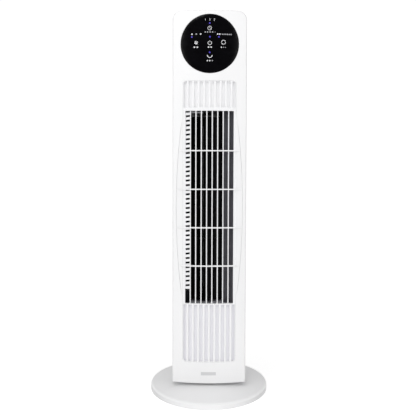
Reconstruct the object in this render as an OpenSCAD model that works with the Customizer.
// Tower fan: a bowed white tower with a cross-flow wheel, swinging on a round weighted base.
// Millimetres, +Z up, front towards -Y, origin at the centre of the base on the standing surface.

/* [Overall] */
// Height of the whole fan
total_h = 758; // [750:1:780]
// Width of the tower
body_w = 145; // [145:1:148]
// How far the front face bows out in the middle
front_bow = 9.8; // [9:0.1:10.5]
// Height of the tower's lower edge above the surface
tower_z = 30; // [29.8:0.1:32]
// Radius of the tower's upper corners, seen from the front
corner_r = 16.5; // [12:0.5:18]
// Wall thickness of the tower shells
wall = 2.6; // [2.2:0.1:2.8]

/* [Base] */
// Diameter of the round base
base_d = 240; // [236:1:260]
// Height of the base's rim
rim_h = 13.5; // [13:0.5:15]
// Wall thickness of the base cover
base_wall = 2.4; // [2:0.1:2.6]

/* [Air outlet] */
// Height of the lowest edge of the open zone
open_z = 187; // [186:1:190]
// Height of one grille cell
cell_h = 75.2; // [74:0.1:76]
// Grille cells, one above the other
cells = 5; // [5]
// Upright slats across the outlet
slats = 8; // [6:1:9]
// Width of the grille insert
grille_w = 103.4; // [102:0.2:104]
// Width of one upright slat
slat_w = 2.4; // [2.2:0.1:3]
// Height of one crossbar
bar_h = 2.2; // [2:0.1:4]

/* [Touch panel] */
// Radius of the round touch panel
lens_r = 56.4; // [54:0.2:57]
// Distance of the panel's centre below the top of the tower
lens_drop = 64.4; // [63:0.2:64.6]

/* [Fan wheel] */
// Outer radius of the cross-flow wheel
wheel_r = 42; // [38:1:43]
// Blades round the wheel
blades = 36; // [24:1:40]
// Wheel segments between discs
segments = 6; // [4:1:7]

/* [Swing drive] */
// Gear module
gear_m = 1; // [1]
// Teeth of the fixed gear
gear_teeth = 32; // [32]
// Teeth of the pinion
pinion_teeth = 16; // [16]

/* [Hidden] */
$fn = 96;

// Tower outline from above: a bowed front, straight sides and a half-round back.
front_y = -67;
bow_r = (pow(body_w / 2, 2) + pow(front_bow, 2)) / (2 * front_bow);
back_cy = -12;
split_y = -46;
seam = 0.6;
edge_r = 2.4;
far = 400;

// Outlet heights.
open_top = open_z + cells * cell_h;
top_edge_z = open_top + 2;
top_band_h = 6.5;
grille_z0 = 72.4;
grille_z1 = 623;
grille_corner = 6;
grille_frame = 4.7;
grille_rim = 1.2;
grille_gap = 0.3;
slat_pitch = 10.6;
slat_set_back = 1.4;
slat_depth = 9;
backing_set_back = 4.6;
backing_t = 2;
flute_rib_w = 4.2;
flute_rib_set_back = 0.5;
strip_z0 = 216.4;
strip_z1 = open_top - 1.4;
shelf_t = 2;
shelf_z = open_top + 1.7 - shelf_t;
mid_z = (open_z + open_top) / 2;

// Scoops beside the outlet: one wide cylinder lying across the front cuts both of them.
scoop_reach = 65.4;
scoop_y = front_y + pow(scoop_reach, 2) / (2 * bow_r);
scoop_rise = 3;
scoop_r = pow(open_top - mid_z, 2) / (2 * scoop_rise);

// Smoothness of the two very large curves, the front's bow and the scoops.
bow_fn = 720;
scoop_fn = 1440;

// Back of the rim around the grille.
frame_back_y = -52;

// Touch panel.
lens_z = total_h - lens_drop;
lens_t = 2.4;
board_y = -53;
board_t = 1.6;
ear_y = -53;
ear_t = 4;
panel_screw_r = 61.5;
small_pilot_r = 1.3;
small_screw_r = 1.25;
key_spots = [[0, 28], [-26.5, 0], [0, 0], [26.5, 0], [0, -26]];
lamp_spots = [[0, 37.5], [-34.8, 11.3], [0, 11.3], [17.6, 11.3], [0, -18.3]];

// Duct and wheel: the wheel stands a little left of and behind the tower's axis.
wheel_x = -6;
wheel_y = 2;
floor_z = 183;
plate_t = 3;
duct_z0 = floor_z + plate_t;
duct_z1 = open_top + 2;
wheel_z0 = duct_z0 + 5;
wheel_z1 = duct_z1 - 9;
disc_t = 1.6;
shaft_r = 4;
stub_r = 3;
running_gap = 0.06;

// Fan motor.
motor_z = 124;
motor_h = 46;
motor_r = 36;
mount_r = 46;
mount_holes_r = 40.5;

// Base and swing.
base_r = base_d / 2;
plate_z = 2;
skirt_z = 0.3;
bottom_t = 2.5;
rim_round = 6;
land_r = 60;
land_z = 26;
dome_foot = [base_r - rim_round, rim_h];
dome_z = (pow(norm([land_r, land_z]), 2) - pow(norm(dome_foot), 2)) / (2 * (land_z - rim_h));
dome_r = norm([land_r, land_z - dome_z]);
well_r = 44;
collar_t = 3;
collar_z = 16;
hub_gap = 0.3;
hub_r = well_r - hub_gap;
hub_bore = 36;
table_r = 57.4;
table_z = 27.3;
table_t = tower_z + 0.2 - table_z;
wire_r = 8;
gear_z = 18;
gear_h = 6;
gear_r = gear_m * gear_teeth / 2;
pinion_r = gear_m * pinion_teeth / 2;
pinion_x = gear_r + pinion_r + 0.15;
swing_motor_x = pinion_x + 8;
swing_motor_r = 25;
screw_bolt_r = 28;
base_screw_r = 105;
gland_z = 7.2;
cord_r = 3.4;

// Power board, upright in two slotted posts on the tower's floor.
power_w = 90;
power_y = -45;
power_z = 36;

// Screws that join the two tower shells.
shell_screw_x = 60;
shell_screw_z = [56, 160, 590, 725];
screw_seat_y = -38;
screw_tip_y = -54;
pilot_r = 1.55;
screw_r = 1.5;

// Handle recess in the back.
handle_w = 90;
handle_z0 = 592;
handle_z1 = 630;
handle_top = 648;
handle_y = 30;

// Depth of the bowed front face at a distance x from the middle.
function bow_y(x) = front_y + bow_r - sqrt(bow_r * bow_r - x * x);

// Depth of the half-round back at a distance x from the middle.
function back_y(x) = back_cy + sqrt(pow(body_w / 2, 2) - x * x);

// Extrudes a drawing made in X and Z between two depths.
module along_y(y0, y1) {
    translate([0, y1, 0]) rotate([90, 0, 0]) linear_extrude(y1 - y0) children();
}

// A cylinder that lies along Y.
module rod_y(r, y0, y1) {
    translate([0, y1, 0]) rotate([90, 0, 0]) cylinder(r = r, h = y1 - y0);
}

// Repeats its children round the vertical axis.
module ring_of(count, start = 0) {
    for (i = [0 : count - 1]) rotate([0, 0, start + i * 360 / count]) children();
}

module tower_plan(inset = 0) {
    half = body_w / 2 - inset;
    round_r = edge_r - min(inset, edge_r - 0.4);
    bow_centre = [0, front_y + bow_r];
    round_x = half - round_r;
    round_y = bow_centre[1] - sqrt(pow(bow_r - inset - round_r, 2) - pow(round_x, 2));
    reach = (bow_r + 5) / (bow_r - inset - round_r);
    outer = bow_centre + reach * ([round_x, round_y] - bow_centre);
    difference() {
        intersection() {
            translate(bow_centre) circle(r = bow_r - inset, $fn = bow_fn);
            union() {
                translate([0, back_cy]) circle(r = half);
                translate([-half, front_y]) square([2 * half, back_cy - front_y]);
            }
        }
        for (side = [0, 1]) mirror([side, 0]) difference() {
            polygon([[round_x, round_y], outer, [half + 5, outer[1]], [half + 5, round_y]]);
            translate([round_x, round_y]) circle(r = round_r, $fn = 48);
        }
    }
}

module face_outline(inset = 0, low = tower_z) {
    half = body_w / 2 - inset;
    top = total_h - inset;
    r = corner_r - inset;
    translate([-half, low]) square([2 * half, top - r - low]);
    translate([-half + r, low]) square([2 * (half - r), top - low]);
    for (side = [-1, 1]) translate([side * (half - r), top - r]) circle(r = r);
}

// The tower: its upper edge has one radius, along the sides and round the back.
module tower_solid(inset = 0, low = tower_z) {
    intersection() {
        translate([0, 0, low]) linear_extrude(total_h - low) tower_plan(inset);
        union() {
            along_y(front_y - 1, back_cy) face_outline(inset, low);
            translate([0, back_cy, 0]) rotate_extrude($fn = 180) intersection() {
                face_outline(inset, low);
                square([body_w, total_h]);
            }
        }
    }
}

// An upright panel with rounded corners, drawn in X and Z. Each corner's arc ends a little outside
// the straight edges, so that it crosses them.
module rounded_panel(w, z0, z1, r) {
    difference() {
        translate([-w / 2, z0]) square([w, z1 - z0]);
        for (side = [-1, 1], end = [-1, 1])
            translate([side * (w / 2 - r), end < 0 ? z0 + r : z1 - r]) difference() {
                translate([side < 0 ? -2 * r : 0, end < 0 ? -2 * r : 0]) square(2 * r);
                circle(r = r + 0.03);
            }
    }
}

// Everything in front of a curved sheet that lies set_back behind the bowed face.
module behind_face(set_back, z0, z1) {
    intersection() {
        translate([0, 0, z0]) linear_extrude(z1 - z0)
            translate([0, front_y + bow_r]) circle(r = bow_r - set_back, $fn = bow_fn);
        children();
    }
}

module scoop_cutter() {
    inner_x = grille_w / 2 - grille_frame - 1;
    width = scoop_reach + 8 - inner_x;
    for (x = [-inner_x - width, inner_x])
        translate([x, scoop_y - scoop_r, mid_z]) rotate([0, 90, 0])
            intersection() {
                cylinder(r = scoop_r, h = width, $fn = scoop_fn);
                translate([-far, scoop_r - 60, -1]) cube([2 * far, 60, width + 2]);
            }
}

module shell_bosses(r, y0, y1) {
    for (x = [-shell_screw_x, shell_screw_x], z = shell_screw_z)
        translate([x, 0, z]) rod_y(r, y0, y1);
}

// Stubs of the crossbars where they run out over the scoops.
module scoop_bars() {
    for (i = [0 : cells - 1])
        translate([0, 0, open_z + i * cell_h - bar_h / 2])
            linear_extrude(bar_h) difference() {
                intersection() {
                    translate([0, front_y + bow_r]) circle(r = bow_r - 0.2, $fn = bow_fn);
                    translate([-scoop_reach, front_y]) square([2 * scoop_reach, frame_back_y - front_y]);
                }
                translate([-grille_w / 2 - grille_gap, front_y - 1])
                    square([grille_w + 2 * grille_gap, 40]);
            }
}

module front_cover() {
    color("white") difference() {
        union() {
            difference() {
                union() {
                    difference() {
                        tower_solid();
                        tower_solid(wall, tower_z - 5);
                    }
                    intersection() {
                        tower_solid(0.5);
                        along_y(front_y, frame_back_y)
                            rounded_panel(2 * scoop_reach + 5, grille_z0 - 7, grille_z1 + 4, 8);
                    }
                    intersection() {
                        tower_solid(0.5);
                        union() {
                            shell_bosses(4, front_y, split_y - 0.3);
                            panel_screw_spots() rod_y(3.6, front_y, ear_y - 0.2);
                        }
                    }
                }
                scoop_cutter();
            }
            scoop_bars();
        }
        translate([-far, split_y, 0]) cube([2 * far, far, 2 * far]);
        along_y(-100, -40)
            rounded_panel(grille_w + 2 * grille_gap, grille_z0 - grille_gap, grille_z1 + grille_gap,
                          grille_corner);
        translate([0, 0, lens_z]) rod_y(lens_r + 0.3, -100, -40);
        shell_bosses(pilot_r, screw_tip_y - 2, -40);
        panel_screw_spots() rod_y(small_pilot_r, -59.4, -40);
    }
}

// Upright slats, seen from above, from the outlet's face inwards.
module slat_plan() {
    for (i = [0 : slats - 1]) {
        x = (i - (slats - 1) / 2) * slat_pitch;
        translate([x, bow_y(x) + slat_set_back + slat_w / 2]) {
            circle(d = slat_w, $fn = 32);
            translate([-slat_w / 2, 0]) square([slat_w, slat_depth - slat_w / 2]);
        }
    }
}

// Ribs of a closed zone: one in line with the middle of each gap.
module flute_ribs(z0, z1) {
    for (i = [0 : slats]) {
        x = (i - slats / 2) * slat_pitch;
        translate([x - flute_rib_w / 2, bow_y(x) + flute_rib_set_back, z0])
            cube([flute_rib_w, backing_set_back + 1 - flute_rib_set_back, z1 - z0]);
    }
}

// A band that follows the bowed face, from above.
module bowed_band(set_back, depth, w) {
    intersection() {
        difference() {
            translate([0, front_y + bow_r]) circle(r = bow_r - set_back, $fn = bow_fn);
            translate([0, front_y + bow_r]) circle(r = bow_r - set_back - depth, $fn = bow_fn);
        }
        translate([-w / 2, front_y]) square([w, 40]);
    }
}

// Slotted strip that closes the first gap of the open zone, level with the closed zones' backing.
// Its slots rise a little towards the middle.
module vent_strip() {
    slot_pitch = 8.96;
    slot_h = 3.8;
    slot_count = 38;
    slot_tilt = 7;
    slot_x0 = -grille_w / 2 + grille_frame + 0.7;
    slot_x1 = -(slats - 1) / 2 * slat_pitch - slat_w / 2 + 0.2;
    strip_x0 = -grille_w / 2 + 1;
    difference() {
        translate([0, 0, strip_z0]) linear_extrude(strip_z1 - strip_z0) intersection() {
            bowed_band(backing_set_back, backing_t, grille_w);
            translate([strip_x0, front_y]) square([slot_x1 + 0.8 - strip_x0, 40]);
        }
        for (i = [0 : slot_count - 1])
            translate([(slot_x0 + slot_x1) / 2, front_y + 8, strip_z1 - 6.5 - i * slot_pitch])
                rotate([0, -slot_tilt, 0]) cube([slot_x1 - slot_x0, 12, slot_h], center = true);
    }
}

// Windows of the grille's frame, drawn in X and Z: the open zone, and a fluted zone above and below it.
module grille_windows() {
    open_w = grille_w - 2 * grille_frame;
    flute_w = grille_w - 2 * grille_rim;
    r = grille_corner - grille_rim;
    translate([-open_w / 2, open_z]) square([open_w, top_edge_z - open_z]);
    intersection() {
        rounded_panel(flute_w, grille_z0 + grille_rim, grille_z1 - grille_rim, r);
        union() {
            translate([-grille_w, grille_z0]) square([2 * grille_w, open_z - 0.8 - grille_z0]);
            translate([-grille_w, top_edge_z + top_band_h]) square([2 * grille_w, grille_z1]);
        }
    }
}

// Outlet grille: slats and crossbars over the open zone, fluted plates above and below it.
module front_grille() {
    color("whitesmoke") intersection() {
        along_y(-100, -40) rounded_panel(grille_w, grille_z0, grille_z1, grille_corner);
        union() {
            difference() {
                translate([0, 0, grille_z0 - 1]) linear_extrude(grille_z1 - grille_z0 + 2)
                    bowed_band(0.2, 8, grille_w);
                along_y(-100, -40) grille_windows();
                scoop_cutter();
            }
            translate([0, 0, open_z - 0.5]) linear_extrude(top_edge_z + 1.5 - open_z) slat_plan();
            for (zone = [[grille_z0 + 0.5, open_z], [top_edge_z + 2, grille_z1 - 0.5]]) {
                translate([0, 0, zone[0]]) linear_extrude(zone[1] - zone[0])
                    bowed_band(backing_set_back, backing_t, grille_w);
                flute_ribs(zone[0], zone[1]);
            }
            for (i = [0 : cells - 1])
                translate([0, 0, open_z + i * cell_h - bar_h / 2]) linear_extrude(bar_h)
                    bowed_band(0.2, 5.5, grille_w);
            vent_strip();
        }
    }
}

// Slots of the air inlet, seen from above.
module inlet_slots() {
    slot_w = 4.6;
    step = 7.5;
    for (i = [-9 : 9])
        translate([0, back_cy]) rotate(i * step) translate([-slot_w / 2, body_w / 2 - wall - 4])
            square([slot_w, wall + 8]);
}

module handle_outline(grow = 0) {
    rounded_panel(handle_w + 2 * grow, handle_z0 - grow, handle_z1 + grow, 8 + grow);
}

module rear_housing() {
    rib = 5;
    color("white") difference() {
        union() {
            difference() {
                tower_solid();
                tower_solid(wall, tower_z - 5);
            }
            intersection() {
                tower_solid(0.5);
                shell_bosses(5, split_y + seam, back_y(shell_screw_x) + 2);
            }
        }
        translate([-far, split_y + seam - 2 * far, 0]) cube([2 * far, 2 * far, 2 * far]);
        for (i = [0 : cells - 1])
            translate([0, 0, open_z + i * cell_h + rib / 2]) linear_extrude(cell_h - rib) inlet_slots();
        along_y(20, 80) handle_outline(0.2);
        shell_bosses(3.6, screw_seat_y, 80);
        shell_bosses(1.7, -60, -30);
    }
}

module handle_cup() {
    t = 2.2;
    cup_w = handle_w + 2 * t + 0.6;
    inner_back = back_cy + body_w / 2 - wall - 0.3;
    color("white") difference() {
        intersection() {
            translate([-cup_w / 2, handle_y - t, handle_z0 - t - 2])
                cube([cup_w, 60, handle_top - handle_z0 + 2 * t + 2]);
            translate([0, 0, handle_z0 - 20]) linear_extrude(100)
                translate([0, back_cy]) circle(r = body_w / 2 - wall - 0.3);
        }
        translate([-handle_w / 2, handle_y, handle_z0]) cube([handle_w, 60, handle_top - handle_z0]);
        translate([-cup_w / 2 - 1, inner_back + 20, handle_z0]) cube([cup_w + 2, 40, 80]);
    }
}

module housing_screws() {
    color("silver") for (x = [-shell_screw_x, shell_screw_x], z = shell_screw_z)
        translate([x, 0, z]) {
            difference() {
                rod_y(3, screw_seat_y, screw_seat_y + 2.2);
                for (turn = [0, 90]) rotate([0, turn, 0])
                    translate([-1.8, screw_seat_y + 1.2, -0.4]) cube([3.6, 2, 0.8]);
            }
            rod_y(screw_r, screw_tip_y, screw_seat_y + 0.1);
        }
}

module panel_lens() {
    color("black") intersection() {
        translate([0, 0, lens_z - lens_r - 2]) linear_extrude(2 * lens_r + 4)
            bowed_band(0, lens_t, 2 * lens_r + 4);
        translate([0, 0, lens_z]) rod_y(lens_r, -80, -40);
    }
}

// The places of the holder's three screws, round the panel.
module panel_screw_spots() {
    for (turn = [20, 160, 270])
        translate([panel_screw_r * cos(turn), 0, lens_z + panel_screw_r * sin(turn)]) children();
}

module panel_holder() {
    ring_w = 4.5;
    color("gainsboro") behind_face(wall + 0.2, lens_z - 70, lens_z + 70) difference() {
        union() {
            translate([0, 0, lens_z]) rod_y(lens_r + 1.6, -66, ear_y + ear_t);
            panel_screw_spots() rod_y(4, ear_y, ear_y + ear_t);
        }
        translate([0, 0, lens_z]) rod_y(lens_r - ring_w, -70, -40);
        translate([0, 0, lens_z]) rod_y(lens_r - 1, board_y - 0.1, -40);
        panel_screw_spots() rod_y(1.4, -60, -40);
    }
}

module panel_screws() {
    color("silver") panel_screw_spots() {
        rod_y(2.6, ear_y + ear_t, ear_y + ear_t + 1.6);
        rod_y(small_screw_r, -59, ear_y + ear_t + 0.1);
    }
}

module control_board() {
    color("darkgreen") translate([0, 0, lens_z]) {
        rod_y(lens_r - 1.2, board_y, board_y + board_t);
        translate([-14, board_y + board_t, -8]) cube([12, 1.6, 12]);
        translate([12, board_y + board_t, -40]) cube([16, 4.5, 6]);
        translate([-22, 0, -28]) rod_y(6, board_y + board_t, board_y + board_t + 4.5);
    }
}

// One touch spring: wire rings joined by an upright, from the board to the lens.
module touch_spring(length) {
    wire = 0.4;
    turns = 5;
    coil_r = 3.6;
    for (i = [0 : turns - 1])
        translate([0, -wire - i * (length - 2 * wire) / (turns - 1), 0]) rotate([90, 0, 0])
            rotate_extrude($fn = 40) translate([coil_r, 0]) circle(r = wire, $fn = 16);
    translate([coil_r, 0, 0]) rod_y(wire * 0.8, wire - length, -wire);
}

module touch_springs() {
    color("gold") for (spot = key_spots)
        translate([spot[0], board_y, lens_z + spot[1]])
            touch_spring(board_y - bow_y(spot[0]) - lens_t - 0.35);
}

module indicator_leds() {
    color("deepskyblue") for (spot = lamp_spots)
        translate([spot[0], 0, lens_z + spot[1]]) {
            rod_y(1.8, board_y - 1.2, board_y);
            rod_y(1.4, board_y - 4, board_y - 1);
            translate([0, board_y - 4, 0]) rotate([90, 0, 0]) sphere(r = 1.3, $fn = 24);
        }
}

module panel_cable() {
    side_x = body_w / 2 - wall - 3.6;
    ribbon = 12;
    t = 0.9;
    top_z = 640;
    low_z = 78;
    color("dimgray") {
        translate([20, board_y + 6, top_z]) cube([side_x - 20, t, ribbon]);
        translate([side_x - t, board_y + 6, top_z]) cube([t, 32, ribbon]);
        translate([side_x - t, board_y + 26, low_z]) cube([t, ribbon, top_z + ribbon - low_z]);
        translate([side_x - t, board_y + 7, low_z]) cube([t, 31, ribbon]);
        translate([46, board_y + 7, low_z]) cube([side_x - 46, t, ribbon]);
    }
}

// Scroll wall: a straight wall slants in from the outlet's right edge and turns into an arc round
// the wheel.
module duct_wall() {
    t = 2;
    arc_r = 49;
    arc_centre = [-3.5, 0];
    start = -52;
    stop = 70;
    nose = arc_centre + (arc_r + t / 2) * [cos(start), sin(start)];
    mouth = [grille_w / 2 - 2.6, frame_back_y - 0.9];
    color("dimgray") translate([0, 0, duct_z0]) linear_extrude(duct_z1 - duct_z0) {
        translate(arc_centre) intersection() {
            difference() {
                circle(r = arc_r + t);
                circle(r = arc_r);
            }
            polygon([[0, 0], far * [cos(start), sin(start)], far * [1, 1], far * [cos(stop), sin(stop)]]);
        }
        wall_plan([mouth, nose], t);
    }
}

// A wall of one thickness along a path, seen from above, with round ends and bends.
module wall_plan(path, t) {
    for (i = [0 : len(path) - 2]) {
        a = path[i];
        run = path[i + 1] - a;
        translate(a) rotate(atan2(run[1], run[0])) translate([0, -t / 2]) square([norm(run), t]);
        translate(path[i + 1]) circle(d = t + 0.3, $fn = 24);
    }
}

// Thin white shelf across the top of the outlet's left side; it lies on the lip.
module outlet_shelf() {
    color("white") translate([0, 0, shelf_z]) intersection() {
        translate([-46, 18, 0]) cylinder(r = 70, h = shelf_t);
        translate([-46.5, -53, -1]) cube([36, 9.4, shelf_t + 2]);
    }
}

// Wall from the left edge of the outlet, past the lip close to the wheel, to the side of the tower.
module duct_lip() {
    t = 2;
    lip_path = [[-48.4, -53.3], [-39.4, -44.8], [-38.4, -36], [-46, -31.5],
                [-body_w / 2 + wall + 1.6, -36]];
    color("dimgray") translate([0, 0, duct_z0]) linear_extrude(shelf_z - 0.05 - duct_z0)
        wall_plan(lip_path, t);
}

module duct_plate_plan() {
    intersection() {
        tower_plan(wall + 0.8);
        translate([-100, frame_back_y + 0.3]) square([200, 200]);
    }
}

module duct_floor() {
    color("silver") translate([0, 0, floor_z]) linear_extrude(plate_t) difference() {
        duct_plate_plan();
        translate([wheel_x, wheel_y]) circle(r = 14);
        translate([body_w / 2 - wall - 8, -34]) square([20, 22]);
    }
}

module duct_ceiling() {
    color("dimgray") translate([0, 0, duct_z1]) linear_extrude(plate_t) difference() {
        duct_plate_plan();
        translate([wheel_x, wheel_y]) circle(r = 12);
        translate([body_w / 2 - wall - 8, -34]) square([20, 22]);
    }
}

module on_wheel_axis() {
    translate([wheel_x, wheel_y, 0]) children();
}

module upper_bearing() {
    color("darkgoldenrod") on_wheel_axis() translate([0, 0, duct_z1 - 2]) difference() {
        cylinder(r = 7, h = 8);
        translate([0, 0, -1]) cylinder(r = stub_r + running_gap, h = 10);
    }
}

module bearing_mount() {
    color("black") on_wheel_axis() difference() {
        union() {
            translate([0, 0, duct_z1 - 2]) cylinder(r = 11.9, h = 8);
            translate([0, 0, duct_z1 + plate_t]) cylinder(r = 15, h = 2);
        }
        translate([0, 0, duct_z1 - 4]) cylinder(r = 7, h = 14);
    }
}

// Cross-flow wheel: curved blades between an end disc at each end and thin discs along the way.
module impeller() {
    inner_r = wheel_r - 9;
    length = wheel_z1 - wheel_z0;
    blade_r = 9.5;
    blade_t = 1;
    color([0.08, 0.08, 0.09]) on_wheel_axis() difference() {
        union() {
            translate([0, 0, wheel_z0 + 0.5]) linear_extrude(length - 1) ring_of(blades)
                intersection() {
                    translate([inner_r - 1, blade_r - 4.5]) difference() {
                        circle(r = blade_r, $fn = 48);
                        circle(r = blade_r - blade_t, $fn = 48);
                    }
                    translate([inner_r + 0.4, -6]) square([wheel_r - inner_r - 1, 6]);
                }
            for (i = [1 : segments - 1])
                translate([0, 0, wheel_z0 + i * length / segments]) linear_extrude(disc_t) difference() {
                    circle(r = wheel_r);
                    circle(r = inner_r - 1.5);
                }
            translate([0, 0, wheel_z0]) cylinder(r = wheel_r, h = disc_t);
            translate([0, 0, wheel_z1 - disc_t]) cylinder(r = wheel_r, h = disc_t);
            translate([0, 0, wheel_z0 - 2]) cylinder(r = 10, h = 18);
            translate([0, 0, wheel_z1 - 14]) cylinder(r = 8, h = 16);
        }
        translate([0, 0, wheel_z0 - 4]) cylinder(r = shaft_r, h = 24);
        translate([0, 0, wheel_z1 - 12]) cylinder(r = stub_r, h = 20);
    }
}

module drive_shaft() {
    low_z = motor_z - 9;
    color("silver") on_wheel_axis() translate([0, 0, low_z])
        cylinder(r = shaft_r, h = wheel_z0 + 12 - low_z);
}

module stub_shaft() {
    low_z = wheel_z1 - 11;
    color("silver") on_wheel_axis() translate([0, 0, low_z])
        cylinder(r = stub_r, h = duct_z1 + 5 - low_z);
}

module fan_motor() {
    bell_r = 27;
    color("gray") on_wheel_axis() difference() {
        union() {
            translate([0, 0, motor_z]) cylinder(r = motor_r, h = motor_h);
            translate([0, 0, motor_z - 6]) cylinder(r = bell_r, h = motor_h + 10);
            ring_of(4, 45) translate([0, -5, motor_z + motor_h - 3]) cube([mount_holes_r + 4, 10, 3]);
        }
        translate([0, 0, motor_z - 20]) cylinder(r = shaft_r + running_gap, h = 100);
        ring_of(4, 45) translate([mount_holes_r, 0, motor_z]) cylinder(r = 1.7, h = 60, $fn = 32);
    }
}

module motor_mount() {
    z = motor_z + motor_h;
    color("darkgray") on_wheel_axis() difference() {
        union() {
            translate([0, 0, z + 5]) cylinder(r = mount_r, h = 2);
            ring_of(4, 45) translate([mount_holes_r, 0, z]) cylinder(r = 4, h = floor_z - z);
        }
        translate([0, 0, z - 1]) cylinder(r = 28, h = 30);
        ring_of(4, 45) translate([mount_holes_r, 0, z - 1]) cylinder(r = 1.7, h = 30, $fn = 32);
    }
}

module motor_screws() {
    z = motor_z + motor_h - 3;
    color("silver") on_wheel_axis() ring_of(4, 45) translate([mount_holes_r, 0, 0]) {
        translate([0, 0, z - 2]) cylinder(r = 3, h = 2, $fn = 32);
        translate([0, 0, z - 0.1]) cylinder(r = screw_r, h = floor_z - z - 0.3, $fn = 32);
    }
}

module tower_floor() {
    post = 6;
    color("whitesmoke") difference() {
        union() {
            translate([0, 0, tower_z + 0.2]) linear_extrude(plate_t) difference() {
                tower_plan(wall + 0.4);
                circle(r = wire_r + 1);
                translate([pinion_x, 0]) circle(r = 4);
            }
            for (side = [-1, 1])
                translate([side * (power_w / 2 + 1) - post / 2, power_y + (board_t - post) / 2,
                           tower_z + 1])
                    cube([post, post, 44]);
        }
        translate([-power_w / 2 - 0.2, power_y - 0.1, power_z - 0.1])
            cube([power_w + 0.4, board_t + 0.2, 80]);
        ring_of(4, 45) translate([screw_bolt_r, 0, 0]) cylinder(r = pilot_r, h = 60, $fn = 32);
    }
}

module turntable() {
    color("dimgray") difference() {
        union() {
            translate([0, 0, table_z]) cylinder(r = table_r, h = table_t);
            translate([0, 0, collar_z - 0.5]) cylinder(r = hub_r, h = table_z - collar_z + 0.6);
        }
        cylinder(r = hub_bore, h = table_z);
        cylinder(r = wire_r + 1, h = 60);
        translate([pinion_x, 0, 0]) cylinder(r = 4, h = 60);
        ring_of(4, 45) translate([screw_bolt_r, 0, 0]) cylinder(r = 1.7, h = 60, $fn = 32);
        ring_of(3, 30) translate([(hub_bore + hub_r) / 2, 0, 0]) cylinder(r = pilot_r, h = 22, $fn = 32);
    }
}

module swing_retainer() {
    color("dimgray") translate([0, 0, collar_z - 3.7]) difference() {
        cylinder(r = well_r + collar_t + 3, h = 3.2);
        translate([0, 0, -1]) cylinder(r = hub_bore - 1, h = 6);
        ring_of(3, 30) translate([(hub_bore + hub_r) / 2, 0, -1]) cylinder(r = 1.7, h = 6, $fn = 32);
    }
}

module turntable_screws() {
    hub_mid = (hub_bore + hub_r) / 2;
    color("silver") {
        ring_of(4, 45) translate([screw_bolt_r, 0, 0]) {
            translate([0, 0, table_z - 2]) cylinder(r = 3, h = 2, $fn = 32);
            translate([0, 0, table_z - 0.1]) cylinder(r = screw_r, h = 5.5, $fn = 32);
        }
        ring_of(3, 30) translate([hub_mid, 0, 0]) {
            translate([0, 0, collar_z - 5.3]) cylinder(r = 3, h = 1.6, $fn = 32);
            translate([0, 0, collar_z - 3.8]) cylinder(r = screw_r, h = 9, $fn = 32);
        }
    }
}

// A spur gear; every tooth is slimmer than its gap, so a meshing pair has backlash.
module spur_gear(teeth, h) {
    pitch_r = gear_m * teeth / 2;
    root_r = pitch_r - 1.2 * gear_m;
    tip_r = pitch_r + 0.9 * gear_m;
    tip_half = 0.3 * gear_m;
    side_half = 0.68 * gear_m;
    root_half = 0.95 * gear_m;
    linear_extrude(h) {
        circle(r = root_r);
        for (i = [0 : teeth - 1]) rotate(i * 360 / teeth)
            polygon([[root_r - 0.6, -root_half], [pitch_r, -side_half], [tip_r, -tip_half],
                     [tip_r, tip_half], [pitch_r, side_half], [root_r - 0.6, root_half]]);
    }
}

module swing_gear() {
    color("ivory") difference() {
        union() {
            translate([0, 0, plate_z + bottom_t]) cylinder(r = 22, h = 2.5);
            translate([0, 0, plate_z + bottom_t]) cylinder(r = 12.5, h = gear_z - plate_z - bottom_t + 0.5);
            translate([0, 0, gear_z]) spur_gear(gear_teeth, gear_h);
        }
        cylinder(r = wire_r, h = 60);
    }
}

module swing_pinion() {
    color("ivory") translate([pinion_x, 0, 0]) {
        translate([0, 0, gear_z + 0.5]) rotate(180 / pinion_teeth) spur_gear(pinion_teeth, gear_h - 1);
        translate([0, 0, gear_z + gear_h - 1]) cylinder(r = 2.5, h = 18);
    }
}

module swing_motor() {
    z = tower_z + 0.2 + plate_t;
    color("silver") difference() {
        union() {
            translate([swing_motor_x, 0, z]) cylinder(r = swing_motor_r, h = 17);
            translate([swing_motor_x - 14, -swing_motor_r - 6, z]) cube([28, 2 * swing_motor_r + 12, 1.5]);
            translate([swing_motor_x + swing_motor_r - 3, -8, z + 3]) cube([7, 16, 9]);
        }
        translate([pinion_x, 0, z - 1]) cylinder(r = 2.5 + running_gap, h = 11);
    }
}

module swing_race() {
    color("lightgray") difference() {
        translate([0, 0, land_z]) cylinder(r = 56, h = 1);
        translate([0, 0, land_z - 1]) cylinder(r = well_r + 0.8, h = 3);
    }
}

// Half section of the base cover's outside, from the axis outwards.
module dome_section(inset) {
    r = base_r - inset;
    low_r = rim_round - inset;
    intersection() {
        translate([0, dome_z]) circle(r = dome_r - inset, $fn = 360);
        union() {
            translate([0, skirt_z]) square([r - low_r, 40]);
            translate([0, skirt_z]) square([r, rim_h - rim_round - skirt_z]);
            translate([base_r - rim_round, rim_h - rim_round]) circle(r = low_r);
        }
    }
}

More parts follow.
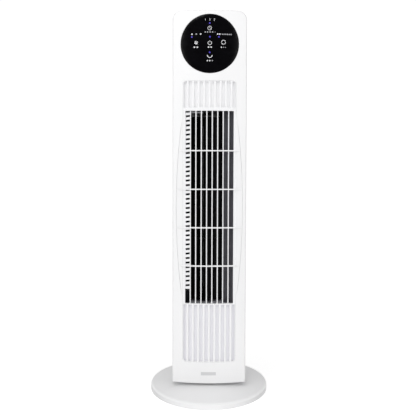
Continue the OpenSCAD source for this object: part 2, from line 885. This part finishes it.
module base_cover() {
    color("white") difference() {
        union() {
            rotate_extrude($fn = 180) intersection() {
                square([200, land_z]);
                difference() {
                    dome_section(0);
                    difference() {
                        intersection() {
                            dome_section(base_wall);
                            square([200, land_z - base_wall]);
                        }
                        translate([well_r, collar_z]) square([collar_t, 40]);
                    }
                    square([well_r, 60]);
                    square([200, skirt_z + 0.1]);
                }
            }
            intersection() {
                ring_of(4, 45) translate([base_screw_r, 0, plate_z + bottom_t])
                    cylinder(r = 4, h = 10, $fn = 48);
                rotate_extrude($fn = 180) dome_section(1);
            }
            intersection() {
                translate([0, base_r - 6, gland_z]) rod_y(5.3, -4, 4);
                rotate_extrude($fn = 180) dome_section(1);
            }
        }
        ring_of(4, 45) translate([base_screw_r, 0, 0]) cylinder(r = pilot_r, h = 11, $fn = 32);
        translate([0, base_r, gland_z]) rod_y(4.5, -20, 10);
    }
}

module base_bottom() {
    color("whitesmoke") difference() {
        translate([0, 0, plate_z]) cylinder(r = base_r - base_wall - 0.4, h = bottom_t);
        ring_of(4, 45) translate([base_screw_r, 0, 0]) cylinder(r = 1.7, h = 10, $fn = 32);
        cylinder(r = 5, h = 10);
        translate([-6.5, base_r - 15, 0]) cube([13, 20, 10]);
    }
}

module base_weight() {
    color("dimgray") translate([0, 0, plate_z + bottom_t]) difference() {
        cylinder(r = 98, h = 6);
        translate([0, 0, -1]) cylinder(r = 56, h = 8);
    }
}

module rubber_feet() {
    color("gray") ring_of(5, 90) translate([92, 0, 0]) cylinder(r = 9, h = plate_z);
}

module base_screws() {
    color("silver") ring_of(4, 45) translate([base_screw_r, 0, 0]) {
        translate([0, 0, plate_z - 1.4]) cylinder(r = 3, h = 1.4, $fn = 32);
        translate([0, 0, plate_z - 0.1]) cylinder(r = screw_r, h = 8, $fn = 32);
    }
}

module cord_gland() {
    color("gray") translate([0, base_r, gland_z]) difference() {
        union() {
            rod_y(4.4, -11, -0.2);
            rod_y(4.9, -12.5, -10.5);
        }
        rod_y(cord_r, -20, 10);
    }
}

module power_board() {
    color("darkgreen") translate([-power_w / 2, power_y, power_z]) {
        cube([power_w, board_t, 60]);
        translate([8, board_t, 10]) cube([24, 16, 20]);
        translate([40, board_t, 12]) cube([16, 11, 14]);
        translate([62, board_t, 8]) cube([18, 7, 9]);
        translate([62, board_t, 42]) cube([18, 7, 9]);
        translate([18, board_t, 46]) rotate([-90, 0, 0]) cylinder(r = 6, h = 12);
    }
}

module run_capacitor() {
    color("lightgray") translate([-30, 22, plate_t + tower_z + 0.2]) cube([30, 16, 24]);
}

base_cover();
base_bottom();
base_weight();
rubber_feet();
base_screws();
swing_gear();
swing_race();
cord_gland();
turntable();
swing_retainer();
turntable_screws();
tower_floor();
front_cover();
front_grille();
rear_housing();
handle_cup();
housing_screws();
panel_lens();
panel_holder();
panel_screws();
control_board();
touch_springs();
indicator_leds();
panel_cable();
duct_wall();
duct_lip();
outlet_shelf();
duct_floor();
duct_ceiling();
upper_bearing();
bearing_mount();
fan_motor();
motor_mount();
motor_screws();
swing_motor();
power_board();
run_capacitor();
impeller();
drive_shaft();
stub_shaft();
swing_pinion();
